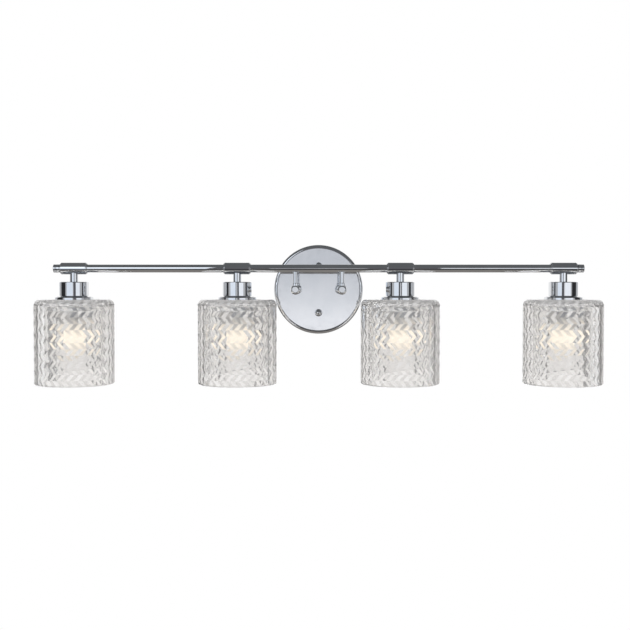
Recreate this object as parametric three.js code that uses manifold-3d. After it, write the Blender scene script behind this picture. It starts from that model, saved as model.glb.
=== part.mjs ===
// A four-light vanity bar: a chrome tube on two arms in front of a round wall canopy, with four
// collars on the tube. Each collar carries a stem, a lampholder in a chrome cup, and a clear
// glass cylinder shade that a threaded ring holds up against a fitter ring.
//
// Millimetres. The wall is the plane Y = 0, the room is on the -Y side, +Z is up and +X is to the
// right as seen from the room. The origin is the centre of the mounting bar's back face.
import * as THREE from "three";
import { mergeVertices } from "three/addons/utils/BufferGeometryUtils.js";
import Module from "manifold-3d";

const wasm = await Module();
wasm.setup();

// ---- Driving dimensions ----
const GAP = 0.35; // between two pieces that touch or run on each other
const HOLE_GAP = 0.5; // between a tube and the hole that it goes through
const PAST = 1; // how far a cutter runs past what it cuts
const LIGHT_COUNT = 4;
const LIGHT_PITCH = 220; // from one light to the next along the tube
const BAR_Y = -100; // the tube's axis, out from the wall
const BAR_Z = 28.5; // the tube's axis, above the canopy's centre

const BAR = { radius: 5.4, bore: 4.4, halfLength: 348.8, wireHole: 2.5 };
const FINIAL = { radius: 5.6, length: 8.7, plugRadius: 4.0, plugLength: 8, edge: 0.9, dome: 0.2 };
const COLLAR = { radius: 7.95, halfLength: 16.9, lipRadius: 6.9, lipLength: 1.3, bore: 5.8, tapping: 3.3 };
const STEM = { radius: 5.45, bore: 2.2, topSpigot: 2.9, bottomSpigot: 4.0, bottom: 5.4 };
const CUP = { radius: 19.5, top: 10.5, bottom: -8.5, wall: 1.0, hole: 4.4, edge: 1.2 };
const FITTER = { radius: 25.5, bottom: -14.5, wall: 1.2, hole: 17.7, edge: 0.6 };
const HOLDER = { skirt: 17.0, bore: 14.8, bottom: -32, floor: 2, top: 5, topRadius: 13, wireHole: 3 };
const HOLDER_SHOULDER = { radius: 17.9, top: -4 };
const SHELL = { radius: 13.8, wave: 0.3, outside: 0.1, inside: -0.3, top: -1, bottom: -29, turns: 3 };
const SHADE = { radius: 53.2, wall: 4, top: 3.8, shoulder: -13.2, bottom: -127.3 };
const SHADE_CORNER = { outer: 5, inner: 4, rim: 1 };
const SHADE_SEAT = { height: -14.8, hole: 18.5, radius: 28.5, slope: 5 };
const RING = { radius: 24.5, bore: 17.7, height: 6.5, edge: 1 };
const BULB = { radius: 23.8, centre: -66, wall: 1.0, neck: 12.4, neckTop: -28.85 };
const FLARE = { radius: 14.6, height: -42 }; // between the lamp's ball and its neck
const CAP = { crest: 12.85, root: 12.25, tip: -2, insulator: -5.5, bottom: -28.5, wall: 1.2, turns: 3 };
const CONTACT = { radius: 4.5, inside: 3 };

const CANOPY = { radius: 63.5, depth: 22, wall: 1.2, edge: 4.2 };
const ARM = { x: 31.5, radius: 4, bore: 2.5, back: -14, shoulderRadius: 6.5, shoulderLength: 2.5 };
const ELBOW = { radius: 6.8, flat: 5.5, face: 5.2, neckRadius: 4.3, neckFoot: 3, neckTop: 8.8, bore: 2.1 };
const RISER = { radius: 3.1, bore: 2.1 };
const ARM_NUT = { flats: 14, height: 4 };
const CROSSBAR = { width: 22, length: 104, thickness: 2, tapping: 2.4 };
const SLOT = { width: 5, length: 11, z: 44.45 };
const STUD = { z: 33.3, radius: 2, front: -28.5, back: -0.3 };
const CAP_NUT = { radius: 5.25, length: 9.2, bore: 2.4, boreDepth: 7, skirt: 3 };
const WIRE = { radius: 0.8, offset: 0.95, end: 3.5 };
const TAIL = { x: -16, y: -8, bottom: -44, bend: -30, spread: 4 }; // where the two conductors start
// The earth lead, from the canopy's inside to the mounting bar.
const EARTH_ROUTE = [
  [44, -19.4, -14],
  [34, -12, -22],
  [20, -6, -14],
  [7, -3.2, -8],
];

const FACES = { canopy: 32, shade: 24, round: 16, small: 12, hexagon: 6, wire: 6 };

// ---- Materials ----
const material = (color, roughness, metalness, extra = {}) =>
  new THREE.MeshStandardMaterial({ color, roughness, metalness, ...extra });
const chrome = material(0xd9dde2, 0.06, 1);
const zincPlate = material(0xa9adb0, 0.35, 1);
const brass = material(0xc9a24b, 0.3, 1);
const porcelain = material(0x9096a2, 0.25, 0);
const clearGlass = material(0xf4f7f7, 0.03, 0, { transparent: true, opacity: 0.35 });
const litGlass = material(0xfff1d6, 0.35, 0, { emissive: 0xffd9a0, emissiveIntensity: 1 });
const nickel = material(0xbfc1c2, 0.22, 1);
const blackInsulation = material(0x17181a, 0.5, 0);
const whiteInsulation = material(0xe9e7e0, 0.5, 0);
const greenInsulation = material(0x2f7d3b, 0.5, 0);

// ---- Geometry helpers ----
// A closed geometry as a manifold-3d solid.
function solid(geometry) {
  const corners = (geometry.index ? geometry.toNonIndexed() : geometry).getAttribute("position");
  const merged = mergeVertices(new THREE.BufferGeometry().setAttribute("position", corners), 1e-3);
  const vertProperties = merged.getAttribute("position").array;
  const triVerts = new Uint32Array(merged.index.array);
  return new wasm.Manifold(new wasm.Mesh({ numProp: 3, vertProperties, triVerts }));
}

function geometryOf(made) {
  const mesh = made.getMesh();
  return new THREE.BufferGeometry()
    .setAttribute("position", new THREE.BufferAttribute(mesh.vertProperties, 3))
    .setIndex(new THREE.BufferAttribute(mesh.triVerts, 1));
}

// A solid of revolution about Z. The profile is [radius, height] points, anticlockwise with the
// radius to the right; it starts and ends on the axis, or closes on itself.
function turned(profile, segments) {
  const points = profile.map(([r, h]) => new THREE.Vector2(r, h));
  if (profile[0][0] > 0) points.push(points[0].clone());
  return new THREE.LatheGeometry(points, segments).rotateX(Math.PI / 2);
}

// A cylinder between two points.
function rod(from, to, radius, segments) {
  const a = new THREE.Vector3(...from);
  const b = new THREE.Vector3(...to);
  const along = b.clone().sub(a);
  const up = new THREE.Vector3(0, 1, 0);
  const turn = new THREE.Quaternion().setFromUnitVectors(up, along.clone().normalize());
  const middle = a.add(b).multiplyScalar(0.5);
  return new THREE.CylinderGeometry(radius, radius, along.length(), segments)
    .applyQuaternion(turn)
    .translate(middle.x, middle.y, middle.z);
}

// Solid cylinders along each axis: centred on x, or between two places on the axis.
function alongX(x, y, z, half, radius, segments) {
  return solid(rod([x - half, y, z], [x + half, y, z], radius, segments));
}

function alongY(x, z, back, front, radius, segments) {
  return solid(rod([x, back, z], [x, front, z], radius, segments));
}

function alongZ(x, y, low, high, radius, segments) {
  return solid(rod([x, y, low], [x, y, high], radius, segments));
}

// [radius, height] points on an arc from one angle to another, in degrees.
function arc(centreR, centreH, radius, from, to, steps) {
  return Array.from({ length: steps + 1 }, (_, i) => {
    const angle = THREE.MathUtils.degToRad(from + ((to - from) * i) / steps);
    return [centreR + radius * Math.cos(angle), centreH + radius * Math.sin(angle)];
  });
}

// A rounded thread as rings: heights from low to high, and a radius that swings either side.
function threadRings(radius, wave, low, high, turns) {
  return Array.from({ length: 2 * turns + 1 }, (_, i) => [
    radius + (i % 2 ? wave : -wave),
    low + ((high - low) * i) / (2 * turns),
  ]);
}

// One solid wire through a list of routes, each a list of points.
function wire(routes) {
  const pieces = routes.flatMap((route) => [
    ...route.slice(1).map((end, i) => solid(rod(route[i], end, WIRE.radius, FACES.wire))),
    ...route.slice(1, -1).map(([x, y, z]) =>
      solid(new THREE.SphereGeometry(WIRE.radius, FACES.wire, FACES.wire / 2).translate(x, y, z)),
    ),
  ]);
  return pieces.reduce((all, next) => all.add(next));
}

// ---- What every piece goes into ----
const light = new THREE.Group();

function add(group, name, made, look) {
  const geometry = made.isBufferGeometry ? made : geometryOf(made);
  const mesh = new THREE.Mesh(geometry, look.clone());
  mesh.name = name;
  group.add(mesh);
}

const lightX = (index) => (index - (LIGHT_COUNT - 1) / 2) * LIGHT_PITCH;
const lights = Array.from({ length: LIGHT_COUNT }, (_, index) => ({ number: index + 1, x: lightX(index) }));
const sides = [
  { name: "left", sign: -1 },
  { name: "right", sign: 1 },
];

// The chrome tube, with a wire hole over each stem and each riser.
function barTube() {
  const holes = [...lights.map(({ x }) => x), -ARM.x, ARM.x];
  const bored = alongX(0, BAR_Y, BAR_Z, BAR.halfLength, BAR.radius, FACES.round).subtract(
    alongX(0, BAR_Y, BAR_Z, BAR.halfLength + PAST, BAR.bore, FACES.round),
  );
  return holes.reduce(
    (tube, x) => tube.subtract(alongZ(x, BAR_Y, BAR_Z - BAR.radius - PAST, BAR_Z, BAR.wireHole, FACES.small)),
    bored,
  );
}

// A domed end cap with a plug that presses into the tube.
function finial(sign) {
  const inner = BAR.halfLength + GAP;
  const outer = inner + FINIAL.length;
  const profile = [
    [0, inner - FINIAL.plugLength],
    [FINIAL.plugRadius, inner - FINIAL.plugLength],
    [FINIAL.plugRadius, inner],
    [FINIAL.radius, inner],
    [FINIAL.radius, outer - FINIAL.edge],
    [FINIAL.radius - FINIAL.edge, outer - FINIAL.dome],
    [0, outer],
  ];
  return turned(profile, FACES.round)
    .rotateY((sign * Math.PI) / 2)
    .translate(0, BAR_Y, BAR_Z);
}

// The collar that slides on the tube, with a lip at each end and a tapped hole for the stem.
function collar(x) {
  const end = COLLAR.halfLength;
  const tip = end + COLLAR.lipLength;
  const profile = [
    [COLLAR.bore, -tip],
    [COLLAR.lipRadius, -tip],
    [COLLAR.lipRadius, -end],
    [COLLAR.radius, -end],
    [COLLAR.radius, end],
    [COLLAR.lipRadius, end],
    [COLLAR.lipRadius, tip],
    [COLLAR.bore, tip],
  ];
  const sleeve = solid(turned(profile, FACES.round).rotateY(Math.PI / 2).translate(x, BAR_Y, BAR_Z));
  return sleeve.subtract(alongZ(x, BAR_Y, BAR_Z - COLLAR.radius - PAST, BAR_Z, COLLAR.tapping, FACES.small));
}

// The hollow stem: its top is cut to sit round the collar, and a spigot at each end joins it up.
function stem(x) {
  const bodyBottom = CUP.top + GAP;
  const body = alongZ(x, BAR_Y, bodyBottom, BAR_Z - COLLAR.bore, STEM.radius, FACES.round).subtract(
    alongX(x, BAR_Y, BAR_Z, COLLAR.halfLength, COLLAR.radius + GAP, FACES.round),
  );
  const topFoot = BAR_Z - COLLAR.radius - 2 * PAST;
  const top = alongZ(x, BAR_Y, topFoot, BAR_Z - COLLAR.bore, STEM.topSpigot, FACES.small);
  const bottom = alongZ(x, BAR_Y, STEM.bottom, bodyBottom + PAST, STEM.bottomSpigot, FACES.small);
  return body.add(top).add(bottom).subtract(alongZ(x, BAR_Y, 0, BAR_Z, STEM.bore, FACES.small));
}

// The drawn cup that hides the lampholder.
function cup() {
  const inside = CUP.radius - CUP.wall;
  return turned(
    [
      [inside, CUP.bottom],
      [CUP.radius, CUP.bottom],
      [CUP.radius, CUP.top - CUP.edge],
      [CUP.radius - CUP.edge, CUP.top],
      [CUP.hole, CUP.top],
      [CUP.hole, CUP.top - CUP.wall],
      [inside - CUP.edge, CUP.top - CUP.wall],
      [inside, CUP.top - CUP.wall - CUP.edge],
    ],
    FACES.round,
  );
}

// The stamped ring that the glass bears up against.
function fitterRing() {
  const top = CUP.bottom - GAP;
  const inside = FITTER.radius - FITTER.wall;
  return turned(
    [
      [inside, FITTER.bottom],
      [FITTER.radius, FITTER.bottom],
      [FITTER.radius, top - FITTER.edge],
      [FITTER.radius - FITTER.edge, top],
      [FITTER.hole, top],
      [FITTER.hole, top - FITTER.wall],
      [inside, top - FITTER.wall],
    ],
    FACES.round,
  );
}

// The porcelain lampholder, open at the bottom for the lamp.
function lampholder() {
  return turned(
    [
      [HOLDER.bore, HOLDER.bottom],
      [HOLDER.skirt, HOLDER.bottom],
      [HOLDER.skirt, CUP.bottom],
      [HOLDER_SHOULDER.radius, CUP.bottom],
      [HOLDER_SHOULDER.radius, HOLDER_SHOULDER.top],
      [HOLDER.topRadius, HOLDER.top],
      [HOLDER.wireHole, HOLDER.top],
      [HOLDER.wireHole, HOLDER.floor],
      [HOLDER.bore, HOLDER.floor],
    ],
    FACES.round,
  );
}

// The threaded contact shell that lines the lampholder.
function screwShell() {
  const rings = threadRings(SHELL.radius, SHELL.wave, SHELL.bottom, SHELL.top, SHELL.turns);
  const outer = rings.map(([r, h]) => [r + SHELL.outside, h]);
  const inner = rings.map(([r, h]) => [r + SHELL.inside, h]).reverse();
  return turned([...outer, ...inner], FACES.small);
}

// The glass cylinder: open below, closed above but for the lampholder's hole, with a seat for
// the fitter ring sunk a little below its rounded shoulder.
function shade() {
  const inside = SHADE.radius - SHADE.wall;
  const ceiling = SHADE_SEAT.height - SHADE.top;
  const corner = SHADE_CORNER.outer;
  return turned(
    [
      [inside, SHADE.bottom],
      [SHADE.radius - SHADE_CORNER.rim, SHADE.bottom],
      [SHADE.radius, SHADE.bottom + SHADE_CORNER.rim],
      ...arc(SHADE.radius - corner, SHADE.shoulder - corner, corner, 0, 90, 3),
      [SHADE_SEAT.radius + SHADE_SEAT.slope, SHADE.shoulder],
      [SHADE_SEAT.radius, SHADE_SEAT.height],
      [SHADE_SEAT.hole, SHADE_SEAT.height],
      [SHADE_SEAT.hole, ceiling],
      [inside - SHADE_CORNER.inner, ceiling],
      [inside, ceiling - SHADE_CORNER.inner],
    ],
    FACES.shade,
  );
}

// The ring that screws up the lampholder's skirt and clamps the glass.
function retainingRing() {
  const top = SHADE_SEAT.height - SHADE.top - GAP;
  return turned(
    [
      [RING.bore, top - RING.height],
      [RING.radius - RING.edge, top - RING.height],
      [RING.radius, top - RING.height + RING.edge],
      [RING.radius, top],
      [RING.bore, top],
    ],
    FACES.round,
  );
}

// The lamp's screw cap, open at the neck.
function bulbCap() {
  const middle = (CAP.crest + CAP.root) / 2;
  const wave = (CAP.crest - CAP.root) / 2;
  const thread = threadRings(middle, wave, CAP.bottom, CAP.insulator, CAP.turns);
  return turned(
    [
      [0, CAP.tip - CAP.wall],
      [CONTACT.inside, CAP.tip - CAP.wall],
      [CAP.root - CAP.wall, CAP.insulator - CAP.wall],
      [CAP.root - CAP.wall, CAP.bottom],
      ...thread,
      [CONTACT.radius, CAP.tip],
      [0, CAP.tip],
    ],
    FACES.small,
  );
}

// The lamp's round glass, with its neck open into the cap.
function bulbGlobe() {
  const wallLine = (offset) => [
    ...arc(0, BULB.centre, BULB.radius - offset, -90, 40, 5),
    [FLARE.radius - offset, FLARE.height],
    [BULB.neck - offset, BULB.neckTop],
  ];
  return turned([...wallLine(0), ...wallLine(BULB.wall).reverse()], FACES.round);
}

// Turns a piece made about Z, with the wall at height 0, to stand out from the wall.
const outFromWall = (geometry, x, z) => geometry.rotateX(Math.PI / 2).translate(x, 0, z);

// The round wall canopy, drilled for the two arms and the two studs.
function canopy() {
  const inside = CANOPY.radius - CANOPY.wall;
  const shelf = CANOPY.depth - CANOPY.wall;
  const edge = CANOPY.edge;
  const innerEdge = CANOPY.edge - CANOPY.wall;
  const profile = [
    [0, shelf],
    [inside - innerEdge, shelf],
    [inside, shelf - innerEdge],
    [inside, 0],
    [CANOPY.radius, 0],
    ...arc(CANOPY.radius - edge, CANOPY.depth - edge, edge, 0, 90, 3),
    [0, CANOPY.depth],
  ];
  const pan = solid(outFromWall(turned(profile, FACES.canopy), 0, 0));
  const hole = (x, z, radius) =>
    alongY(x, z, PAST - shelf, -CANOPY.depth - PAST, radius + HOLE_GAP, FACES.small);
  return pan
    .subtract(hole(-ARM.x, 0, ARM.radius))
    .subtract(hole(ARM.x, 0, ARM.radius))
    .subtract(hole(0, -STUD.z, STUD.radius))
    .subtract(hole(0, STUD.z, STUD.radius));
}

// The steel strip that screws to the junction box.
function crossbar() {
  const drill = (z, radius) => alongY(0, z, PAST, -CROSSBAR.thickness - PAST, radius, FACES.small);
  const slot = (z) => {
    const reach = (SLOT.length - SLOT.width) / 2;
    return drill(z - reach, SLOT.width / 2).add(drill(z + reach, SLOT.width / 2)).hull();
  };
  const box = new THREE.BoxGeometry(CROSSBAR.width, CROSSBAR.thickness, CROSSBAR.length);
  return solid(box.translate(0, -CROSSBAR.thickness / 2, 0))
    .subtract(slot(-SLOT.z))
    .subtract(slot(SLOT.z))
    .subtract(drill(-STUD.z, CROSSBAR.tapping))
    .subtract(drill(STUD.z, CROSSBAR.tapping));
}

// A horizontal arm tube, with a shoulder against the canopy's face and an end that meets the elbow.
function arm(x) {
  const front = BAR_Y + ELBOW.flat + GAP;
  const face = -CANOPY.depth - GAP;
  return alongY(x, 0, ARM.back, front, ARM.radius, FACES.round)
    .add(alongY(x, 0, face, face - ARM.shoulderLength, ARM.shoulderRadius, FACES.round))
    .subtract(alongY(x, 0, 0, BAR_Y, ARM.bore, FACES.small));
}

// The hexagon nut on the arm's tail, inside the canopy.
function armNut(x) {
  const front = -CANOPY.depth + CANOPY.wall + GAP;
  const corner = ARM_NUT.flats / Math.sqrt(3);
  return alongY(x, 0, front + ARM_NUT.height, front, corner, FACES.hexagon).subtract(
    alongY(x, 0, 0, BAR_Y, ARM.radius + HOLE_GAP, FACES.round),
  );
}

// The ball elbow: flat behind for the arm and flat in front, with a neck on top for the riser.
function elbow(x) {
  const ball = new THREE.SphereGeometry(ELBOW.radius, FACES.round, FACES.round / 2).rotateX(Math.PI / 2);
  const size = 2 * (ELBOW.radius + PAST);
  const cutter = (y) => solid(new THREE.BoxGeometry(size, size, size).translate(x, y, 0));
  return solid(ball.translate(x, BAR_Y, 0))
    .add(alongZ(x, BAR_Y, ELBOW.neckFoot, ELBOW.neckTop, ELBOW.neckRadius, FACES.round))
    .subtract(cutter(BAR_Y + ELBOW.flat + size / 2))
    .subtract(cutter(BAR_Y - ELBOW.face - size / 2))
    .subtract(alongY(x, 0, BAR_Y + ELBOW.radius, BAR_Y - ELBOW.bore, ELBOW.bore, FACES.small))
    .subtract(alongZ(x, BAR_Y, -ELBOW.bore, ELBOW.neckTop + PAST, ELBOW.bore, FACES.small));
}

// The short upright between the elbow and the tube, its top cut to sit round the tube.
function riser(x) {
  return alongZ(x, BAR_Y, ELBOW.neckTop + GAP, BAR_Z, RISER.radius, FACES.round)
    .subtract(alongX(x, BAR_Y, BAR_Z, RISER.radius + PAST, BAR.radius + GAP, FACES.round))
    .subtract(alongZ(x, BAR_Y, 0, BAR_Z, RISER.bore, FACES.small));
}

// A domed nut with a blind bore, about Z with its base at height 0.
function capNut() {
  const stretch = (CAP_NUT.length - CAP_NUT.skirt) / CAP_NUT.radius;
  const dome = arc(0, 0, CAP_NUT.radius, 0, 72, 4).map(([r, h]) => [r, CAP_NUT.skirt + h * stretch]);
  return turned(
    [
      [0, CAP_NUT.boreDepth],
      [CAP_NUT.bore, CAP_NUT.boreDepth],
      [CAP_NUT.bore, 0],
      [CAP_NUT.radius, 0],
      ...dome,
      [0, CAP_NUT.length],
    ],
    FACES.round,
  );
}

// One conductor: a tail in the canopy, through the left arm and riser, along the tube, and down
// each stem. The sign puts it on the room side or the wall side of its partner.
function lampWire(sign) {
  const y = BAR_Y + sign * WIRE.offset;
  const armZ = sign * WIRE.offset;
  const x = -ARM.x;
  const tailY = TAIL.y + (sign * TAIL.spread) / 2;
  const supply = [
    [TAIL.x + sign * TAIL.spread, tailY, TAIL.bottom],
    [x, tailY, TAIL.bend],
    [x, tailY, armZ],
    [x, y, armZ],
    [x, y, BAR_Z],
  ];
  const run = [
    [lights[0].x - WIRE.offset, y, BAR_Z],
    [lights[LIGHT_COUNT - 1].x + WIRE.offset, y, BAR_Z],
  ];
  const drops = lights.map((at) => [
    [at.x, y, BAR_Z],
    [at.x, y, WIRE.end],
  ]);
  return wire([supply, run, ...drops]);
}

// ---- One light at each place on the tube ----
lights.forEach(({ number, x }) => {
  const hung = new THREE.Group();
  hung.position.set(x, BAR_Y, 0);
  add(hung, `cup_${number}`, cup(), chrome);
  add(hung, `fitter_ring_${number}`, fitterRing(), chrome);
  add(hung, `lampholder_${number}`, lampholder(), porcelain);
  add(hung, `screw_shell_${number}`, screwShell(), brass);
  add(hung, `shade_${number}`, shade(), clearGlass);
  add(hung, `retaining_ring_${number}`, retainingRing(), chrome);
  add(hung, `bulb_cap_${number}`, bulbCap(), nickel);
  add(hung, `bulb_globe_${number}`, bulbGlobe(), litGlass);
  light.add(hung);
  add(light, `collar_${number}`, collar(x), chrome);
  add(light, `stem_${number}`, stem(x), chrome);
});

// ---- The tube, its two arms and the canopy ----
add(light, "bar_tube", barTube(), chrome);
add(light, "canopy", canopy(), chrome);
add(light, "crossbar", crossbar(), zincPlate);
sides.forEach(({ name, sign }) => {
  add(light, `finial_${name}`, finial(sign), chrome);
  add(light, `arm_${name}`, arm(sign * ARM.x), chrome);
  add(light, `arm_nut_${name}`, armNut(sign * ARM.x), zincPlate);
  add(light, `elbow_${name}`, elbow(sign * ARM.x), chrome);
  add(light, `riser_${name}`, riser(sign * ARM.x), chrome);
});
[
  { name: "upper", z: STUD.z },
  { name: "lower", z: -STUD.z },
].forEach(({ name, z }) => {
  add(light, `stud_${name}`, alongY(0, z, STUD.back, STUD.front, STUD.radius, FACES.small), zincPlate);
  const nut = outFromWall(capNut(), 0, z).translate(0, -CANOPY.depth - GAP, 0);
  add(light, `cap_nut_${name}`, nut, chrome);
});
add(light, "wire_live", lampWire(-1), blackInsulation);
add(light, "wire_neutral", lampWire(1), whiteInsulation);
add(light, "wire_earth", wire([EARTH_ROUTE]), greenInsulation);

export default light;
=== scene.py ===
import math

import bpy
import numpy as np
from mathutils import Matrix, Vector


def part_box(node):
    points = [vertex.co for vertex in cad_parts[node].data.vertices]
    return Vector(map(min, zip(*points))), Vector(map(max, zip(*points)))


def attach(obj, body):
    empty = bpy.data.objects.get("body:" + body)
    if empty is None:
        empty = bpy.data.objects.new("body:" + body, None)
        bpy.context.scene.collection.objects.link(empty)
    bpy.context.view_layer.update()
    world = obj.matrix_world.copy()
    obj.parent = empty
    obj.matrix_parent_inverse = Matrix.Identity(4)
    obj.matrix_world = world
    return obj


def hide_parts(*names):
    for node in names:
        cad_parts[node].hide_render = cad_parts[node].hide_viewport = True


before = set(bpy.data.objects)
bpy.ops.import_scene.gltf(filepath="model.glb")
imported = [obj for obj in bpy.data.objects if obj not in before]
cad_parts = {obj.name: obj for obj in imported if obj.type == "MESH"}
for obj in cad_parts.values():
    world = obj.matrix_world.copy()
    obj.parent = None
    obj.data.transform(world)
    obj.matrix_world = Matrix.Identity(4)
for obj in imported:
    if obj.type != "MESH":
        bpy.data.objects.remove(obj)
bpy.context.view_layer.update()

MM = 0.001
LIGHTS = (1, 2, 3, 4)
SIDES = ("left", "right")
ROUND = 96  # faces round a large turned piece
ROUND_SMALL = 48  # faces round a small one
SHARP = math.radians(35)  # edges that turn more than this stay crisp
ON_AXIS = 1e-7  # a point nearer to the axis than this is on it


# ---- Mesh helpers ----
def mesh_object(name, points, faces, material, sharp=SHARP):
    """A smooth-shaded mesh whose edges over the sharp angle stay crisp."""
    mesh = bpy.data.meshes.new(name)
    mesh.from_pydata([tuple(p) for p in points], [], [tuple(f) for f in faces])
    mesh.polygons.foreach_set("use_smooth", [True] * len(mesh.polygons))
    mesh.set_sharp_from_angle(angle=sharp)
    mesh.materials.append(material)
    piece = bpy.data.objects.new(name, mesh)
    bpy.context.scene.collection.objects.link(piece)
    return piece


def rounded(corners, steps=5):
    """A closed outline through (radius, height, rounding) corners. A corner with no rounding stays sharp.

    An extra point just outside each end of a rounding keeps the shading of the straight part flat.
    """
    most = 0.4  # share of a straight part that one rounding may take
    beyond = 1.25  # distance of the extra points from the corner, where the ends of the arc are at 1
    outline = []
    for i, corner in enumerate(corners):
        here = Vector(corner[:2])
        rounding = corner[2] if len(corner) > 2 else 0
        if not rounding:
            outline.append(here)
            continue
        back = Vector(corners[i - 1][:2]) - here
        onward = Vector(corners[(i + 1) % len(corners)][:2]) - here
        half = back.angle(onward) / 2
        cut = min(rounding / math.tan(half), most * back.length, most * onward.length)
        centre = here + (back.normalized() + onward.normalized()).normalized() * (cut / math.cos(half))
        first = here + back.normalized() * cut - centre
        last = here + onward.normalized() * cut - centre
        outline.append(here + back.normalized() * cut * beyond)
        outline += [centre + first.slerp(last, k / steps) * first.length for k in range(steps + 1)]
        outline.append(here + onward.normalized() * cut * beyond)
    return outline


def turn(outline, segments, axis="Z", at=(0, 0, 0)):
    """Points and faces of a closed outline, or one that starts and ends on the axis, swept round the axis."""
    points = []
    rings = []
    for r, h in outline:
        start = len(points)
        if r < ON_AXIS:
            points.append((0, 0, h))
            rings.append([start] * segments)
            continue
        for k in range(segments):
            angle = 2 * math.pi * k / segments
            points.append((r * math.cos(angle), r * math.sin(angle), h))
        rings.append(list(range(start, start + segments)))
    starts_on_axis = outline[0][0] < ON_AXIS
    next_rings = rings[1:] if starts_on_axis else rings[1:] + rings[:1]
    faces = []
    for low, high in zip(rings, next_rings):
        for k in range(segments):
            corners = [low[k], low[(k + 1) % segments], high[(k + 1) % segments], high[k]]
            corners = list(dict.fromkeys(corners))
            if len(corners) > 2:
                faces.append(corners)
    turned = {
        "X": lambda p: (p[2], p[0], p[1]),
        "-X": lambda p: (-p[2], p[1], p[0]),
        "Y": lambda p: (p[1], p[2], p[0]),
        "-Y": lambda p: (p[0], -p[2], p[1]),
        "Z": lambda p: p,
    }[axis]
    return [Vector(turned(p)) + Vector(at) for p in points], faces


def lathe(name, corners, material, axis="Z", at=(0, 0, 0), segments=ROUND):
    """A turned piece from the corners of its outline."""
    points, faces = turn(rounded(corners), segments, axis, at)
    return mesh_object(name, points, faces, material)


def sweep(name, route, radius, material, sides=12, bend=6, per_bend=6):
    """A round wire along a route of points, with each bend rounded to a given number of wire radii."""
    path = [Vector(route[0])]
    for before, here, after in zip(route, route[1:], route[2:]):
        here = Vector(here)
        back = Vector(before) - here
        onward = Vector(after) - here
        cut = min(bend * radius, back.length / 2, onward.length / 2)
        first = here + back.normalized() * cut
        last = here + onward.normalized() * cut
        for k in range(per_bend + 1):
            t = k / per_bend
            path.append(first.lerp(here, t).lerp(here.lerp(last, t), t))
    path.append(Vector(route[-1]))
    points = []
    across = None
    for i, p in enumerate(path):
        along = (path[min(i + 1, len(path) - 1)] - path[max(i - 1, 0)]).normalized()
        if across is None:
            across = along.orthogonal().normalized()
        across = (across - along * across.dot(along)).normalized()
        other = along.cross(across)
        for k in range(sides):
            angle = 2 * math.pi * k / sides
            points.append(p + (across * math.cos(angle) + other * math.sin(angle)) * radius)
    faces = [tuple(reversed(range(sides)))]
    for i in range(len(path) - 1):
        for k in range(sides):
            a = i * sides + k
            b = i * sides + (k + 1) % sides
            faces.append((a, b, b + sides, a + sides))
    last_ring = (len(path) - 1) * sides
    faces.append(tuple(range(last_ring, last_ring + sides)))
    return mesh_object(name, points, faces, material)


def finish_piece(piece, body, slot, *nodes):
    """Rides a piece on its body, names it after its first node and hides its CAD nodes; the slot is not used.
    """
    piece.name = f"{nodes[0]}_fine"
    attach(piece, body)
    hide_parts(*nodes)
    return piece


# ---- Materials ----
def principled(name):
    """A new material, with its node tree and its shader."""
    material = bpy.data.materials.new(name)
    material.use_nodes = True
    return material, material.node_tree, material.node_tree.nodes["Principled BSDF"]


def noise(tree, scale, detail=3.0):
    """A noise value over the piece's own coordinates, scale in features per metre."""
    place = tree.nodes.new("ShaderNodeTexCoord")
    pattern = tree.nodes.new("ShaderNodeTexNoise")
    pattern.inputs["Scale"].default_value = scale
    pattern.inputs["Detail"].default_value = detail
    tree.links.new(place.outputs["Object"], pattern.inputs["Vector"])
    return pattern.outputs["Fac"]


def blend_colours(tree, factor, low, high, target, start=0.35, end=0.65):
    """The colour goes from low to high as the factor goes from start to end."""
    ramp = tree.nodes.new("ShaderNodeValToRGB")
    ramp.color_ramp.elements[0].position = start
    ramp.color_ramp.elements[0].color = (*low, 1)
    ramp.color_ramp.elements[1].position = end
    ramp.color_ramp.elements[1].color = (*high, 1)
    tree.links.new(factor, ramp.inputs["Fac"])
    tree.links.new(ramp.outputs["Color"], target)


def spread(tree, factor, low, high, target):
    """The value goes from low to high as the factor goes from 0.3 to 0.7."""
    reach = tree.nodes.new("ShaderNodeMapRange")
    reach.inputs["From Min"].default_value = 0.3
    reach.inputs["From Max"].default_value = 0.7
    reach.inputs["To Min"].default_value = low
    reach.inputs["To Max"].default_value = high
    tree.links.new(factor, reach.inputs["Value"])
    tree.links.new(reach.outputs["Result"], target)


def bump(tree, shader, factor, strength, depth):
    """Shading of a surface that rises with the factor."""
    relief = tree.nodes.new("ShaderNodeBump")
    relief.inputs["Strength"].default_value = strength
    relief.inputs["Distance"].default_value = depth
    tree.links.new(factor, relief.inputs["Height"])
    tree.links.new(relief.outputs["Normal"], shader.inputs["Normal"])


def plated_metal(name, low, high, gloss, ripple=0.02):
    """Plated metal: a faint cloudiness in tone and polish, and the slight ripple that polishing leaves."""
    material, tree, shader = principled(name)
    shader.inputs["Metallic"].default_value = 1.0
    blend_colours(tree, noise(tree, 35), low, high, shader.inputs["Base Color"])
    spread(tree, noise(tree, 160, 5), *gloss, shader.inputs["Roughness"])
    bump(tree, shader, noise(tree, 60, 1), ripple, 0.2 * MM)
    return material


def glazed(name, low, high, gloss):
    """A glossy non-metal, such as porcelain or wire insulation."""
    material, tree, shader = principled(name)
    blend_colours(tree, noise(tree, 120), low, high, shader.inputs["Base Color"])
    spread(tree, noise(tree, 300), *gloss, shader.inputs["Roughness"])
    bump(tree, shader, noise(tree, 500), 0.05, 0.1 * MM)
    return material


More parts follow.
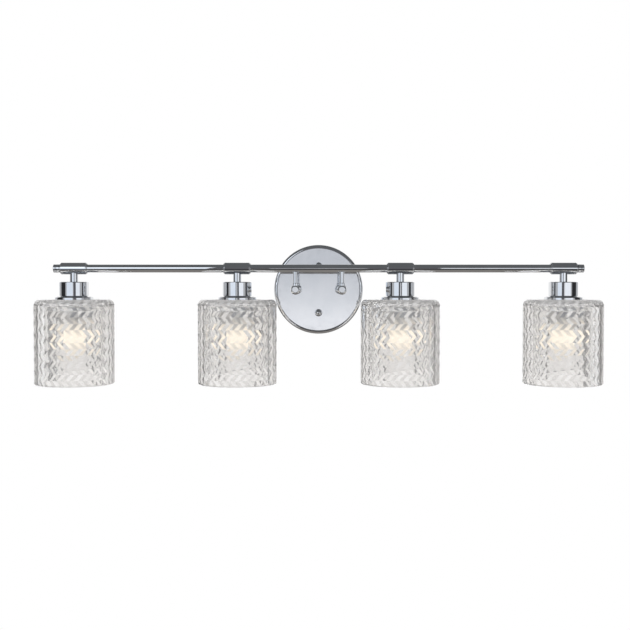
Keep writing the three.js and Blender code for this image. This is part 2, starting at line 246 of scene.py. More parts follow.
def pressed_glass(name, clearness):
    """Pressed glass with the soft waviness that a mould leaves, and milkier where it is less clear."""
    material, tree, shader = principled(name)
    shader.inputs["Transmission Weight"].default_value = clearness
    shader.inputs["IOR"].default_value = 1.5
    greyer = (0.955, 0.950, 0.945)
    whiter = (0.975, 0.968, 0.962)
    blend_colours(tree, noise(tree, 25), greyer, whiter, shader.inputs["Base Color"])
    spread(tree, noise(tree, 240, 4), 0.0, 0.025, shader.inputs["Roughness"])
    bump(tree, shader, noise(tree, 110, 2), 0.14, 0.5 * MM)
    return material


def height_share(tree):
    """0 at the foot of a piece and 1 at its top."""
    place = tree.nodes.new("ShaderNodeTexCoord")
    parts = tree.nodes.new("ShaderNodeSeparateXYZ")
    tree.links.new(place.outputs["Generated"], parts.inputs["Vector"])
    return parts.outputs["Z"]


def lit_lamp_glass(name):
    """White-coated lamp glass, lit from inside, brightest round its ball and unlit at its neck."""
    material, tree, shader = principled(name)
    greyer = (0.66, 0.64, 0.61)
    whiter = (0.72, 0.70, 0.67)
    blend_colours(tree, noise(tree, 80), greyer, whiter, shader.inputs["Base Color"])
    spread(tree, noise(tree, 200), 0.25, 0.4, shader.inputs["Roughness"])
    foot_glow = (0.0, 0.25)
    neck_glow = (1.0, 0.0)
    between = ((0.22, 0.50), (0.42, 0.85), (0.60, 0.50), (0.80, 0.0))
    curve = tree.nodes.new("ShaderNodeFloatCurve")
    points = curve.mapping.curves[0].points
    points[0].location = foot_glow
    points[1].location = neck_glow
    for height, strength in between:
        points.new(height, strength)
    curve.mapping.update()
    tree.links.new(height_share(tree), curve.inputs["Value"])
    tree.links.new(curve.outputs["Value"], shader.inputs["Emission Strength"])
    shader.inputs["Emission Color"].default_value = (1.0, 0.86, 0.66, 1)
    return material


def floor_paint(name, colour):
    """A matt paint with faint cloudiness."""
    material, tree, shader = principled(name)
    shader.inputs["Roughness"].default_value = 0.9
    darker = tuple(c * 0.98 for c in colour)
    blend_colours(tree, noise(tree, 2), colour, darker, shader.inputs["Base Color"])
    return material


def glow(name, low, high=None):
    """A black surface that glows, in one colour or in one that changes from its foot to its top."""
    material, tree, shader = principled(name)
    black = (0.0, 0.0, 0.0)
    near_black = (0.002, 0.002, 0.002)
    blend_colours(tree, noise(tree, 2), black, near_black, shader.inputs["Base Color"])
    shader.inputs["Roughness"].default_value = 1.0
    shader.inputs["Specular IOR Level"].default_value = 0.0
    shader.inputs["Emission Strength"].default_value = 1.0
    if high is None:
        shader.inputs["Emission Color"].default_value = (*low, 1)
    else:
        emission = shader.inputs["Emission Color"]
        blend_colours(tree, height_share(tree), low, high, emission, start=0.15, end=0.65)
    return material


# A plating has its darker and lighter tone, its range of roughness, and how strongly it ripples.
CHROME = plated_metal("chrome_plate", (0.74, 0.755, 0.775), (0.80, 0.81, 0.825), (0.015, 0.05))
CANOPY_CHROME = plated_metal("canopy_chrome", (0.77, 0.785, 0.81), (0.82, 0.83, 0.85), (0.03, 0.07))
CANOPY_INSIDE = plated_metal("canopy_inside", (0.58, 0.59, 0.60), (0.66, 0.66, 0.66), (0.35, 0.5), 0.1)
ZINC = plated_metal("zinc_plate", (0.50, 0.51, 0.50), (0.60, 0.60, 0.58), (0.3, 0.45), 0.15)
NICKEL = plated_metal("lamp_nickel", (0.62, 0.61, 0.59), (0.70, 0.69, 0.67), (0.18, 0.3), 0.1)
BRASS = plated_metal("shell_brass", (0.66, 0.48, 0.22), (0.76, 0.58, 0.30), (0.25, 0.4), 0.1)
# Painted shade: the white porcelain is given a dark blue-grey, standing in for the shade inside the top of
# the glass.
PORCELAIN_PAINTED_SHADE = glazed("porcelain", (0.29, 0.31, 0.35), (0.34, 0.36, 0.39), (0.08, 0.18))
GLASS = pressed_glass("clear_glass", 0.88)
SHOULDER_GLASS = pressed_glass("shoulder_glass", 0.72)
LAMP_GLASS = lit_lamp_glass("lamp_glass")
BLACK_WIRE = glazed("wire_black", (0.012, 0.012, 0.013), (0.03, 0.03, 0.032), (0.35, 0.5))
WHITE_WIRE = glazed("wire_white", (0.74, 0.73, 0.69), (0.82, 0.81, 0.77), (0.35, 0.5))
GREEN_WIRE = glazed("wire_green", (0.03, 0.22, 0.06), (0.06, 0.30, 0.09), (0.35, 0.5))


# ---- Sizes that the CAD boxes give ----
def middle(node):
    """The centre of a CAD piece's box."""
    low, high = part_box(node)
    return (low + high) / 2


def radius_of(node, axis):
    """Half a turned piece's width, across its axis."""
    low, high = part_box(node)
    return max((high - low)[i] for i in range(3) if i != "XYZ".index(axis)) / 2


def span(node, axis):
    """The lowest and highest value of a CAD piece along one axis."""
    low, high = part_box(node)
    i = "XYZ".index(axis)
    return low[i], high[i]


# ---- The hanging pieces of one light ----
def on_axis(number):
    """The light's vertical axis, at height zero."""
    centre = middle(f"shade_{number}")
    return Vector((centre.x, centre.y, 0))


def collar(number):
    """The collar on the tube, with a narrower lip at each end."""
    node = f"collar_{number}"
    low, high = span(node, "X")
    half = (high - low) / 2
    radius = radius_of(node, "X")
    bore = 5.7 * MM
    lip = 1.3 * MM
    lip_radius = radius - 1.05 * MM
    lip_edge = 0.35 * MM
    barrel_edge = 0.45 * MM
    corners = [
        (bore, -half),
        (lip_radius, -half, lip_edge),
        (lip_radius, -half + lip),
        (radius, -half + lip, barrel_edge),
        (radius, half - lip, barrel_edge),
        (lip_radius, half - lip),
        (lip_radius, half, lip_edge),
        (bore, half),
    ]
    piece = lathe(node, corners, CHROME, "X", middle(node))
    return finish_piece(piece, "fixture", "chrome_plate", node)


def stem(number):
    """The stem, from the cup's top up into the collar's wall."""
    node = f"stem_{number}"
    clear_of_tube = 6 * MM
    foot = span(f"cup_{number}", "Z")[1]
    top = middle(f"collar_{number}").z - clear_of_tube
    radius = radius_of(node, "Z")
    bore = 2.2 * MM
    corners = [
        (bore, foot),
        (radius, foot, 0.3 * MM),
        (radius, top),
        (bore, top),
    ]
    piece = lathe(node, corners, CHROME, "Z", on_axis(number), ROUND_SMALL)
    return finish_piece(piece, "fixture", "chrome_plate", node)


def cup(number):
    """The drawn cup over the lampholder, open below and with a hole for the wires."""
    node = f"cup_{number}"
    low, high = span(node, "Z")
    radius = radius_of(node, "Z")
    wall = 1.0 * MM
    hole = 4.4 * MM
    rim_edge = 0.3 * MM
    shoulder = 1.1 * MM
    corners = [
        (radius - wall, low),
        (radius, low, rim_edge),
        (radius, high, shoulder),
        (hole, high, 0.2 * MM),
        (hole, high - wall),
        (radius - wall, high - wall, 0.6 * MM),
    ]
    piece = lathe(node, corners, CHROME, "Z", on_axis(number))
    return finish_piece(piece, "fixture", "chrome_plate", node)


def fitter_ring(number):
    """The stamped ring over the glass: a short step under the cup, then the rolled rim."""
    node = f"fitter_ring_{number}"
    low, high = span(node, "Z")
    radius = radius_of(node, "Z")
    wall = 1.1 * MM
    hole = 17.8 * MM
    rim_top = high - 1.6 * MM
    rim_roll = 1.1 * MM
    step = radius - 2.2 * MM
    step_height = 0.6 * MM
    step_width = 1.5 * MM
    step_edge = 0.8 * MM
    corners = [
        (radius - wall, low),
        (radius, low, 0.5 * MM),
        (radius, rim_top, rim_roll),
        (step, high - step_height, step_edge),
        (step - step_width, high, step_edge),
        (hole, high),
        (hole, high - wall),
        (radius - wall, high - wall - 1.0 * MM, 0.5 * MM),
    ]
    piece = lathe(node, corners, CHROME, "Z", on_axis(number))
    return finish_piece(piece, "fixture", "chrome_plate", node)


def lampholder(number):
    """The porcelain lampholder, with thread crests round its skirt for the retaining ring."""
    node = f"lampholder_{number}"
    low, high = span(node, "Z")
    skirt = 16.9 * MM
    bore = 14.8 * MM
    rim_edge = 0.4 * MM
    crests = 7
    pitch = 1.6 * MM
    depth = 0.45 * MM
    root = skirt - depth
    thread_low = low + 1.2 * MM
    thread_high = thread_low + crests * pitch
    thread = []
    for k in range(crests):
        base = thread_low + k * pitch
        thread += [(root, base, 0.2 * MM), (skirt, base + pitch / 2, 0.2 * MM)]
    shoulder = radius_of(node, "Z")
    shoulder_foot = high - 13.6 * MM
    shoulder_top = high - 9 * MM
    crown = 13 * MM
    wire_hole = 3 * MM
    roof = 3 * MM
    soft = 1 * MM
    corners = [
        (bore, low, rim_edge),
        (root, low, rim_edge),
        *thread,
        (root, thread_high),
        (skirt, thread_high + 0.5 * MM),
        (skirt, shoulder_foot - 0.4 * MM),
        (shoulder, shoulder_foot),
        (shoulder, shoulder_top, soft),
        (crown, high, soft),
        (wire_hole, high),
        (wire_hole, high - roof),
        (bore, high - roof, soft),
    ]
    # The lampholder's dark blue-grey is painted shade on white porcelain.
    piece = lathe(node, corners, PORCELAIN_PAINTED_SHADE, "Z", on_axis(number))
    return finish_piece(piece, "fixture", "porcelain", node)


def retaining_ring(number):
    """The ring that clamps the glass, with finger notches round its rim."""
    node = f"retaining_ring_{number}"
    low, high = span(node, "Z")
    radius = radius_of(node, "Z")
    bore = 17.7 * MM
    foot = radius - 2 * MM
    side = radius - 0.7 * MM
    side_low = low + 1.5 * MM
    rim = 1.4 * MM
    soft = 0.6 * MM
    rim_edge = 0.3 * MM
    corners = [
        (bore, low),
        (foot, low, soft),
        (side, side_low, soft),
        (radius, high - rim, rim_edge),
        (radius, high, rim_edge),
        (bore, high),
    ]
    notches = 24
    faces_per_notch = 6
    notch_depth = 0.45 * MM
    notched_from = radius - 1.2 * MM
    notched_below = high - rim - 0.4 * MM
    points, faces = turn(rounded(corners), notches * faces_per_notch)
    centre = on_axis(number)
    for p in points:
        reach = math.hypot(p.x, p.y)
        if reach > notched_from and p.z < notched_below:
            angle = math.atan2(p.y, p.x)
            shrink = 1 - notch_depth * max(0, math.cos(notches * angle)) / reach
            p.x *= shrink
            p.y *= shrink
    piece = mesh_object(node, [p + centre for p in points], faces, CHROME)
    return finish_piece(piece, f"ring_{number}", "chrome_plate", node)


# ---- The glass shade ----
RIDGES = 29  # upright zigzag ridges round the glass
STEPS_PER_RIDGE = 10
ZIGZAG = 16.6 * MM  # height of one whole zigzag
ZIGZAG_ROWS = 12
SWING = 6.6 * MM  # how far a ridge swings from side to side
RELIEF = 1.9 * MM  # ridge height
GLASS_WALL = 4.0 * MM
GLASS_CORNER = 5.0 * MM  # radius of the shoulder, outside and inside
GLASS_SHARP = math.radians(25)
RIM = 1.2 * MM  # width of the rounding on the open rim
RIM_LOW = 0.3 * MM  # its height
MILKY = 6 * MM  # how far down from its top the glass is milkier


def zigzag(height):
    """Minus one half to one half, in straight lines, once each way in every zigzag."""
    phase = (height / ZIGZAG) % 1
    return abs(2 * phase - 1) - 0.5


def outside_rows(bottom, top, outer):
    """Rings from the open rim up the zigzag wall and over the shoulder, where the relief fades out."""
    rows = [(outer - RIM, bottom, 0.0), (outer - RIM_LOW, bottom + RIM_LOW, 0.5)]
    step = ZIGZAG / ZIGZAG_ROWS
    count = int((top - GLASS_CORNER - bottom - step) / step)
    rows += [(outer, bottom + step * (k + 1), 1.0) for k in range(count + 1)]
    wall_top = rows[-1][1]
    shoulder_rows = 8
    relief_rows = 6
    for k in range(1, shoulder_rows + 1):
        angle = math.radians(90 * k / shoulder_rows)
        radius = outer - GLASS_CORNER * (1 - math.cos(angle))
        height = wall_top + (top - wall_top) * math.sin(angle)
        rows.append((radius, height, max(0.0, 1 - k / relief_rows)))
    return rows


def seat_rows(top, seat, ceiling):
    """Rings from the flat top down a slope to the fitter ring's seat, then through the lampholder's hole."""
    hole = 18.4 * MM
    seat_radius = 28.5 * MM
    slope = 5.5 * MM
    soft = 1.0 * MM
    soft_low = 0.3 * MM
    edge = 0.4 * MM
    edge_height = 0.5 * MM
    return [
        (seat_radius + slope + soft, top, 0.0),
        (seat_radius + slope, top - soft_low, 0.0),
        (seat_radius + soft, seat + edge, 0.0),
        (seat_radius, seat, 0.0),
        (hole + edge, seat, 0.0),
        (hole, seat - edge_height, 0.0),
        (hole, ceiling + edge_height, 0.0),
        (hole + edge, ceiling, 0.0),
    ]


def inside_rows(bottom, ceiling, inner):
    """Rings out across the ceiling, round its corner, and down the smooth inside wall to the rim."""
    flat_edge = inner - GLASS_CORNER
    rows = [(flat_edge, ceiling, 0.0)]
    corner_rows = 6
    for k in range(1, corner_rows + 1):
        angle = math.radians(90 * k / corner_rows)
        radius = flat_edge + GLASS_CORNER * math.sin(angle)
        rows.append((radius, ceiling - GLASS_CORNER * (1 - math.cos(angle)), 0.0))
    wall_rows = 14
    low = bottom + RIM
    high = ceiling - GLASS_CORNER
    rows += [(inner, high + (low - high) * k / wall_rows, 0.0) for k in range(1, wall_rows + 1)]
    rows.append((inner + 0.4 * MM, bottom + RIM_LOW, 0.0))
    rows.append((inner + RIM, bottom, 0.0))
    return rows


def shade_rows(number):
    """(radius, height, relief share) for each ring of the glass, up its outside and down its inside."""
    node = f"shade_{number}"
    bottom, top = span(node, "Z")
    outer = radius_of(node, "Z") - RELIEF
    inner = outer + RELIEF - GLASS_WALL
    seat = span(f"fitter_ring_{number}", "Z")[0] - 0.3 * MM
    ceiling = seat - 3.8 * MM
    return [
        *outside_rows(bottom, top, outer),
        *seat_rows(top, seat, ceiling),
        *inside_rows(bottom, ceiling, inner),
    ]


def shade(number):
    """The glass: upright zigzag ridges with flat sides, pressed on the outside of a smooth cylinder."""
    node = f"shade_{number}"
    centre = on_axis(number)
    bottom, top = span(node, "Z")
    columns = RIDGES * STEPS_PER_RIDGE
    share = np.arange(columns) / STEPS_PER_RIDGE % 1
    ridge = 1 - np.abs(2 * share - 1)
    rows = shade_rows(number)
    points = []
    for radius, height, relief in rows:
        swing = SWING * zigzag(height - bottom) / radius * min(1.0, relief * 2)
        angle = 2 * math.pi * np.arange(columns) / columns + swing
        reach = radius + RELIEF * relief * ridge
        x = centre.x + reach * np.cos(angle)
        y = centre.y + reach * np.sin(angle)
        points.append(np.stack([x, y, np.full(columns, height)], axis=1))
    faces = []
    for i in range(len(rows)):
        low = i * columns
        high = (i + 1) % len(rows) * columns
        for k in range(columns):
            onward = (k + 1) % columns
            faces.append((low + k, low + onward, high + onward, high + k))
    piece = mesh_object(node, np.concatenate(points), faces, GLASS, GLASS_SHARP)
    piece.data.materials.append(SHOULDER_GLASS)
    for face in piece.data.polygons:
        if face.center.z > top - MILKY:
            face.material_index = 1
    return finish_piece(piece, f"shade_{number}", "clear_glass", node)


# ---- The lamp ----
def lamp_globe(number):
    """The lamp's coated glass: a ball that draws in through a throat to its neck."""
    node = f"bulb_globe_{number}"
    bottom, neck_top = span(node, "Z")
    radius = radius_of(node, "Z")
    centre_height = bottom + radius
    neck = 12.4 * MM
    wall = 1.0 * MM
    throat_from = math.radians(38)
    ball_points = 40
    throat_points = 14
    ball = [
        (radius * math.cos(a), centre_height + radius * math.sin(a))
        for a in np.linspace(-math.pi / 2, throat_from, ball_points)
    ]
    start = ball[-1]
    steepness = 1.15
    bend = (neck + 0.6 * MM, start[1] + (start[0] - neck) * steepness)
    end = (neck, neck_top)
    throat = []
    for t in np.linspace(0, 1, throat_points)[1:]:
        from_start = Vector(start).lerp(Vector(bend), t)
        from_bend = Vector(bend).lerp(Vector(end), t)
        throat.append(tuple(from_start.lerp(from_bend, t)))
    outside = [(max(r, 0.0), h) for r, h in ball + throat]
    outside[0] = (0.0, bottom)
    inside = [(max(r - wall, 0.0), h + (wall if r < neck else 0)) for r, h in reversed(outside)]
    inside[-1] = (0.0, bottom + wall)
    points, faces = turn([*outside, *inside], ROUND, "Z", on_axis(number))
    piece = mesh_object(node, points, faces, LAMP_GLASS)
    return finish_piece(piece, f"bulb_{number}", "lamp_glass", node)


def lamp_cap(number):
    """The screw cap, with a rolled thread, an insulator and a contact."""
    node = f"bulb_cap_{number}"
    low, tip = span(node, "Z")
    crest = radius_of(node, "Z")
    root = crest - 0.7 * MM
    collar_radius = crest - 0.2 * MM
    thread_low = low + 3.5 * MM
    crests = 5
    pitch = 3.6 * MM
    roll = 0.7 * MM
    thread = []
    for k in range(crests):
        base = thread_low + k * pitch
        thread += [(root, base, roll), (crest, base + pitch / 2, roll)]
    insulator = 5.5 * MM
    contact = 4.5 * MM
    corners = [
        (crest - 1.4 * MM, low),
        (collar_radius, low, 0.3 * MM),
        (collar_radius, thread_low - 1 * MM),
        *thread,
        (root, thread_low + crests * pitch, 0.5 * MM),
        (root - 2.5 * MM, tip - 2.2 * MM, 0.8 * MM),
        (insulator, tip - 1.0 * MM, 0.4 * MM),
        (contact, tip, 0.5 * MM),
        (0, tip),
        (0, tip - 1.2 * MM),
        (crest - 1.6 * MM, tip - 5 * MM),
    ]
    piece = lathe(node, corners, NICKEL, "Z", on_axis(number))
    return finish_piece(piece, f"bulb_{number}", "lamp_nickel", node)


# ---- The tube and its ends ----
def bar_tube():
    """The long tube, open at both ends for the plugs of the end caps."""
    node = "bar_tube"
    low, high = span(node, "X")
    half = (high - low) / 2
    radius = radius_of(node, "X")
    bore = radius - 1.0 * MM
    corners = [
        (bore, -half),
        (radius, -half, 0.2 * MM),
        (radius, half, 0.2 * MM),
        (bore, half),
    ]
    piece = lathe(node, corners, CHROME, "X", middle(node))
    return finish_piece(piece, "fixture", "chrome_plate", node)


def finial(side):
    """A domed end cap with two fine grooves round it."""
    node = f"finial_{side}"
    low, high = span(node, "X")
    outer = max(abs(low), abs(high))
    radius = radius_of(node, "X")
    centre = middle(node)
    tube_end = span("bar_tube", "X")[1]
    plug = 4.0 * MM
    plug_depth = 8 * MM
    gap = 0.3 * MM
    groove = 0.35 * MM
    dome = 0.5 * MM
    dome_edge = 0.8 * MM
    corners = [
        (0, tube_end - plug_depth),
        (plug, tube_end - plug_depth),
        (plug, tube_end + gap),
        (radius, tube_end + gap, 0.3 * MM),
    ]
    for start in (outer - 5.2 * MM, outer - 3.4 * MM):
        corners += [
            (radius, start),
            (radius - groove, start + groove),
            (radius - groove, start + 1.5 * groove),
            (radius, start + 2.5 * groove),
        ]
    corners += [(radius, outer - dome, dome_edge), (0, outer)]
    axis = "X" if side == "right" else "-X"
    piece = lathe(node, corners, CHROME, axis, (0, centre.y, centre.z), ROUND_SMALL)
    return finish_piece(piece, "fixture", "chrome_plate", node)


# ---- The arms ----
def arm(side):
    """The arm tube, with its shoulder washer against the canopy."""
    node = f"arm_{side}"
    centre = middle(node)
    tail = -span(node, "Y")[1]
    elbow_middle = -middle(f"elbow_{side}").y
    canopy_face = -span("canopy", "Y")[0]
    washer = radius_of(node, "Y")
    washer_back = canopy_face + 0.1 * MM
    washer_front = canopy_face + 2.5 * MM
    radius = 4.0 * MM
    bore = 2.5 * MM
    corners = [
        (bore, tail),
        (radius, tail, 0.4 * MM),
        (radius, washer_back),
        (washer, washer_back),
        (washer, washer_front, 0.9 * MM),
        (radius, washer_front, 0.3 * MM),
        (radius, elbow_middle),
        (bore, elbow_middle),
    ]
    piece = lathe(node, corners, CHROME, "-Y", (centre.x, 0, centre.z), ROUND_SMALL)
    return finish_piece(piece, "fixture", "chrome_plate", node)


def arm_nut(side):
    """A chamfered hexagon nut on the arm's tail."""
    node = f"arm_nut_{side}"
    low, high = span(node, "Y")
    centre = middle(node)
    corner = radius_of(node, "Y")
    half_side = math.pi / 6  # half the angle that one side takes up
    across = corner * math.cos(half_side)
    faces_round = 72
    bore = 4.1 * MM
    end_face = across - 0.2 * MM
    chamfer = 0.9 * MM
    corners = [
        (bore, low),
        (end_face, low),
        (corner, low + chamfer),
        (corner, high - chamfer),
        (end_face, high),
        (bore, high),
    ]
    points, faces = turn(rounded(corners), faces_round, "Y")
    for p in points:
        reach = math.hypot(p.x, p.z)
        angle = math.atan2(p.z, p.x)
        edge = across / math.cos((angle + half_side) % (2 * half_side) - half_side)
        if reach > edge:
            p.x *= edge / reach
            p.z *= edge / reach
        p.x += centre.x
        p.z += centre.z
    piece = mesh_object(node, points, faces, ZINC)
    return finish_piece(piece, "fixture", "zinc_plate", node)


def elbow(side):
    """The elbow: a ball with a flat front and back, and a short neck under the riser."""
    node = f"elbow_{side}"
    centre = middle(f"riser_{side}")
    front, back = span(node, "Y")
    low, high = span(node, "Z")
    radius = -low
    flat_front = centre.y - front
    flat_back = centre.y - back
    edge_from = flat_front - 0.9 * MM
    at = (centre.x, centre.y, 0)

    def ball_radius(forward):
        return math.sqrt(radius ** 2 - forward ** 2)

    ball = [
        (0, flat_back),
        *[(ball_radius(forward), forward) for forward in np.linspace(flat_back, edge_from, 16)],
        (ball_radius(flat_front) - 0.3 * MM, flat_front, 0.8 * MM),
        (0, flat_front),
    ]
    points, faces = turn(rounded(ball), ROUND_SMALL, "-Y", at)

    neck = 4.2 * MM
    neck_low = 2 * MM
    neck_corners = [
        (0, neck_low),
        (neck, neck_low),
        (neck, high, 0.5 * MM),
        (0, high),
    ]
    neck_points, neck_faces = turn(rounded(neck_corners), ROUND_SMALL, "Z", at)
    faces += [tuple(len(points) + k for k in face) for face in neck_faces]
    piece = mesh_object(node, points + neck_points, faces, CHROME)
    return finish_piece(piece, "fixture", "chrome_plate", node)


def riser(side):
    """The short tube from the elbow up through the long tube's wall."""
    node = f"riser_{side}"
    centre = middle(node)
    foot = span(f"elbow_{side}", "Z")[1]
    top = middle("bar_tube").z - 3 * MM
    radius = radius_of(node, "Z")
    bore = 2.1 * MM
    corners = [
        (bore, foot),
        (radius, foot, 0.2 * MM),
        (radius, top),
        (bore, top),
    ]
    piece = lathe(node, corners, CHROME, "Z", (centre.x, centre.y, 0), ROUND_SMALL)
    return finish_piece(piece, "fixture", "chrome_plate", node)


# ---- The canopy and what holds it ----
def canopy():
    """The round pan on the wall, bright outside and duller inside."""
    node = "canopy"
    front = -span(node, "Y")[0]
    radius = radius_of(node, "Y")
    wall = 1.2 * MM
    edge = 4.2 * MM
    edge_steps = 12
    faces_round = 160  # more than other pieces, because it is the widest
    corners = [
        (radius - wall, 0),
        (radius, 0, 0.2 * MM),
        (radius, front, edge),
        (0, front),
        (0, front - wall),
        (radius - wall, front - wall, edge - wall),
    ]
    points, faces = turn(rounded(corners, edge_steps), faces_round, "-Y")
    piece = mesh_object(node, points, faces, CANOPY_CHROME)
    piece.data.materials.append(CANOPY_INSIDE)
    for face in piece.data.polygons:
        outward = Vector((face.center.x, 0, face.center.z))
        faces_the_wall = face.normal.y > 0.5
        faces_the_middle = face.normal.dot(outward) < 0 and outward.length < radius - wall / 2
        if faces_the_wall or faces_the_middle:
            face.material_index = 1
    return finish_piece(piece, "fixture", "chrome_plate", node)


def cap_nut(place):
    """A domed nut with a bead round its foot."""
    node = f"cap_nut_{place}"
    centre = middle(node)
    front, back = span(node, "Y")
    radius = radius_of(node, "Y")
    foot = -back
    crown = -front
    bead = 1.2 * MM
    dome_foot = foot + 2.6 * MM
    dome_radius = radius * 0.94
    dome = [
        (dome_radius * math.cos(a), dome_foot + (crown - dome_foot) * math.sin(a))
        for a in np.linspace(0, math.pi / 2, 14)
    ]
    dome[-1] = (0, crown)
    bore = 2.4 * MM
    bore_end = crown - 2.2 * MM
    corners = [
        (0, bore_end),
        (bore, bore_end),
        (bore, foot),
        (radius, foot, 0.3 * MM),
        (radius, foot + bead, 0.4 * MM),
        (dome_radius, foot + bead + 0.3 * MM),
        *dome,
    ]
    piece = lathe(node, corners, CHROME, "-Y", (centre.x, 0, centre.z), ROUND_SMALL)
    return finish_piece(piece, f"nut_{place}", "chrome_plate", node)


def stud(place):
    """A threaded stud."""
    node = f"stud_{place}"
    centre = middle(node)
    front, back = span(node, "Y")
    crest = radius_of(node, "Y")
    pitch = 0.7 * MM
    root = crest - 0.3 * MM
    faces_round = 32
    crests = int((back - front - 2 * pitch) / pitch)
    thread = []
    for k in range(crests):
        base = -back + pitch * (k + 0.5)
        thread += [(root, base), (crest, base + pitch / 2)]
    corners = [
        (0, -back),
        (root, -back),
        *thread,
        (root, -front),
        (0, -front),
    ]
    piece = lathe(node, corners, ZINC, "-Y", (centre.x, 0, centre.z), faces_round)
    return finish_piece(piece, "fixture", "zinc_plate", node)


def recolour(node, material):
    """A CAD node whose shape is right keeps its mesh and takes a better material."""
    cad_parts[node].material_slots[0].material = material


# ---- The wires ----
WIRE = 0.8 * MM  # radius over the insulation


def lamp_wire(name, sign, material):
    """One conductor: a tail in the canopy, then the left arm and riser, the tube, and a drop to each light.

    The live and the neutral conductor run side by side, on the two signs.
    """
    bar = middle("bar_tube")
    offset = sign * 0.95 * MM
    y = bar.y + offset
    arm_x = middle("arm_left").x
    drop_end = 3.5 * MM
    tail_x = (-16 + 4 * sign) * MM
    tail_y = (-8 + 2 * sign) * MM
    supply = [
        (tail_x, tail_y, -44 * MM),
        (arm_x, tail_y, -30 * MM),
        (arm_x, tail_y, offset),
        (arm_x, y, offset),
        (arm_x, y, bar.z),
    ]
    first, *inner, last = [on_axis(number).x for number in LIGHTS]
    along = [
        (first, y, drop_end),
        (first, y, bar.z),
        (last, y, bar.z),
        (last, y, drop_end),
    ]
    drops = [[(x, y, bar.z), (x, y, drop_end)] for x in inner]
    strands = [
        sweep(f"{name}_{k}", route, WIRE, material, bend=2)
        for k, route in enumerate((supply, along, *drops))
    ]
    whole = strands[0]
    with bpy.context.temp_override(active_object=whole, selected_editable_objects=strands):
        bpy.ops.object.join()
    whole.name = name
    return whole


def wires():
    """The two conductors to the lights, and the earth lead from the canopy to the mounting bar."""
    live = lamp_wire("wire_live", -1, BLACK_WIRE)
    finish_piece(live, "fixture", "wire_black", "wire_live")
    neutral = lamp_wire("wire_neutral", 1, WHITE_WIRE)
    finish_piece(neutral, "fixture", "wire_white", "wire_neutral")
    earth_route = [
        (44 * MM, -19.4 * MM, -14 * MM),
        (34 * MM, -12 * MM, -22 * MM),
        (20 * MM, -6 * MM, -14 * MM),
        (7 * MM, -3.2 * MM, -8 * MM),
    ]
    earth = sweep("wire_earth", earth_route, WIRE, GREEN_WIRE)
    finish_piece(earth, "fixture", "wire_green", "wire_earth")


# ---- The room: the floor, and the cards that the chrome and the glass show ----
def card(name, corners, material):
    """A flat card that shows only in reflections."""
    piece = mesh_object(name, corners, [range(len(corners))], material)
    piece.visible_camera = False
    piece.visible_diffuse = False
    piece.visible_shadow = False
    piece.visible_transmission = False
    return piece


def upright(name, x, y, z, material):
    """A card across the room at one y, over ranges in x and z."""
    return card(name, [(x[0], y, z[0]), (x[1], y, z[0]), (x[1], y, z[1]), (x[0], y, z[1])], material)


def level(name, x, y, z, material):
    """A level card at one z, over ranges in x and y."""
    return card(name, [(x[0], y[0], z), (x[1], y[0], z), (x[1], y[1], z), (x[0], y[1], z)], material)


def side_on(name, x, y, z, material):
    """A card along the room at one x, over ranges in y and z."""
    return card(name, [(x, y[0], z[0]), (x, y[1], z[0]), (x, y[1], z[1]), (x, y[0], z[1])], material)


def white_world():
    """Even white light from all round, and colours shown as they are."""
    scene = bpy.context.scene
    world = bpy.data.worlds.new("white_room")
    world.use_nodes = True
    background = world.node_tree.nodes["Background"]
    background.inputs["Color"].default_value = (1, 1, 1, 1)
    background.inputs["Strength"].default_value = 1.0
    scene.world = world
    scene.view_settings.view_transform = "Standard"
    scene.view_settings.look = "None"


def floor():
    """A round white floor, far below the light."""
    radius = 0.6
    height = -0.75
    thickness = 0.01
    corners = [
        (0, 0),
        (radius, 0),
        (radius, thickness),
        (0, thickness),
    ]
    paint = floor_paint("floor", (0.975, 0.975, 0.97))
    lathe("floor", corners, paint, "Z", (0, -0.05, height - thickness))


ROOM_SIDES = (-1.8, 1.8)
ROOM_NEAR = -1.5  # beside the camera
ROOM_BACK = 1.5
TABLE = -0.7
CEILING = 0.95


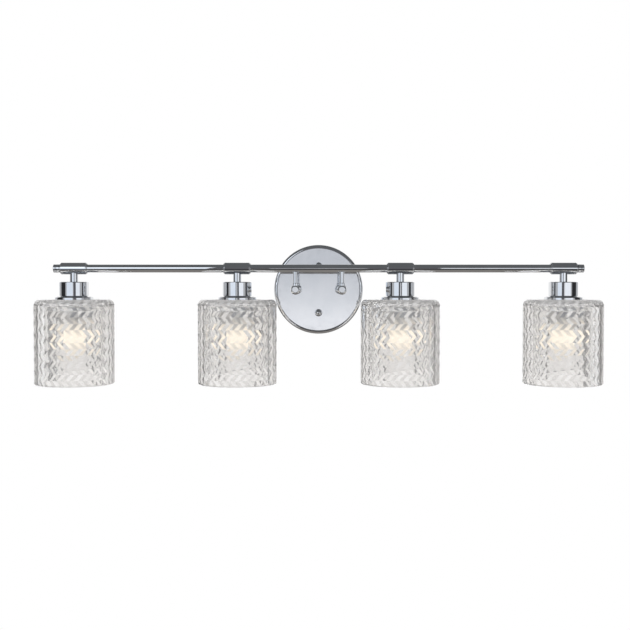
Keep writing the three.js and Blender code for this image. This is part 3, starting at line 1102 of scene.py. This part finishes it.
def reflected_cards(black):
    """What the chrome mirrors: a dim room, a light behind the camera, bright panels and grey surfaces."""
    far = -6.0
    dim = glow("dark_room", (0.02, 0.02, 0.022), (0.13, 0.13, 0.14))
    upright("dark_room", (-4, 4), far, (-5, 3.5), dim)
    cool = glow("camera_light", (0.98, 0.99, 1.02), (0.66, 0.68, 0.72))
    upright("camera_light", (-0.33, 0.37), far + 0.05, (-0.38, 0.33), cool)
    bluish = glow("left_panel", (0.82, 0.89, 0.99), (1.30, 1.38, 1.48))
    upright("left_panel", (ROOM_SIDES[0], -0.30), ROOM_NEAR, (-0.25, 0.9), bluish)
    bright = glow("right_panel", (1.0, 1.04, 1.10))
    upright("right_panel", (0.34, ROOM_SIDES[1]), ROOM_NEAR, (-0.10, 0.33), bright)
    dark_grey = glow("ceiling", (0.12, 0.125, 0.13))
    level("ceiling", ROOM_SIDES, (-2.6, ROOM_BACK), CEILING, dark_grey)
    warm_grey = glow("table", (0.25, 0.235, 0.22))
    level("table", ROOM_SIDES, (-1.0, ROOM_BACK), TABLE, warm_grey)
    grey = glow("grey_wall", (0.50, 0.51, 0.53))
    for name, x in zip(("left_wall", "right_wall"), ROOM_SIDES):
        side_on(name, x, (ROOM_NEAR, ROOM_BACK), (TABLE, CEILING), grey)
    for name, x in (("left_flag", -0.72), ("right_flag", 0.72)):
        side_on(name, x, (-0.36, -0.02), (-0.6, 0.6), black)


def cards_behind_glass(black):
    """What shows only through the glass: a pale card, and before it a dark strip on each side."""
    behind = 0.35
    pale = glow("grey_behind", (0.90, 0.88, 0.865))
    cards = [upright("grey_behind", (-1.1, 1.1), behind, (-0.7, 0.7), pale)]
    for name, x in (("dark_left", (-0.96, -0.75)), ("dark_right", (0.75, 0.96))):
        cards.append(upright(name, x, behind - 0.01, (-0.6, 0.3), black))
    for piece in cards:
        piece.visible_transmission = True
        piece.visible_glossy = False


def camera():
    """The view: level with the elbows, a little left of the middle, and tipped down slightly."""
    lens = bpy.data.cameras.new("camera")
    lens.lens = 57.1
    lens.sensor_width = 36.0
    distance = 1.349
    tipped_down = 1.72
    viewer = bpy.data.objects.new("camera", lens)
    viewer.location = (-0.005, middle("bar_tube").y - distance, 0.0063)
    viewer.rotation_euler = (math.radians(90 - tipped_down), 0, 0)
    scene = bpy.context.scene
    scene.collection.objects.link(viewer)
    scene.camera = viewer


def studio():
    """The light, the floor and the cards."""
    white_world()
    floor()
    black = glow("black_card", (0.03, 0.03, 0.032))
    reflected_cards(black)
    cards_behind_glass(black)


camera()
studio()
for number in LIGHTS:
    collar(number)
    stem(number)
    cup(number)
    fitter_ring(number)
    lampholder(number)
    retaining_ring(number)
    shade(number)
    lamp_globe(number)
    lamp_cap(number)
    recolour(f"screw_shell_{number}", BRASS)
bar_tube()
canopy()
recolour("crossbar", ZINC)
for side in SIDES:
    finial(side)
    arm(side)
    arm_nut(side)
    elbow(side)
    riser(side)
for place in ("upper", "lower"):
    stud(place)
    cap_nut(place)
wires()
